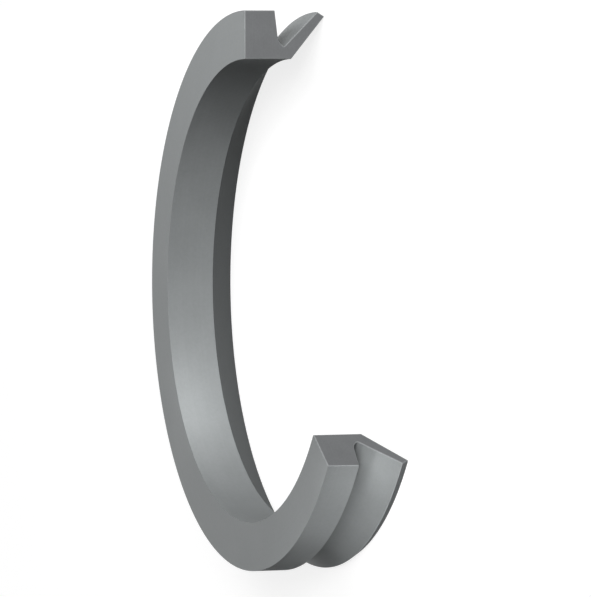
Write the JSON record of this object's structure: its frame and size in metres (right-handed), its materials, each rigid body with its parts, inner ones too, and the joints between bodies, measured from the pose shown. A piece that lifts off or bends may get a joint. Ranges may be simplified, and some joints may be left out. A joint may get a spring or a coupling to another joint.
{
  "type": "v ring seal",
  "caption": "Rubber v ring seal with a flat back, a stretch-on bore and a flexible conical lip, sectioned to show its profile.",
  "frame": {"origin": "on the shaft's axis, in the plane of the ring's flat back face", "axes": "+Z along the shaft's axis, out of the back face and away from the lip; the cut-away sector is centred on -Y; the ring lies on the edge of its lip"},
  "size_m": [0.0592, 0.0432, 0.009],
  "materials": {
    "rubber": "matt moulded mid-grey rubber"
  },
  "bodies": {
    "root": {"v_ring": "rubber"}
  },
  "joints": []
}
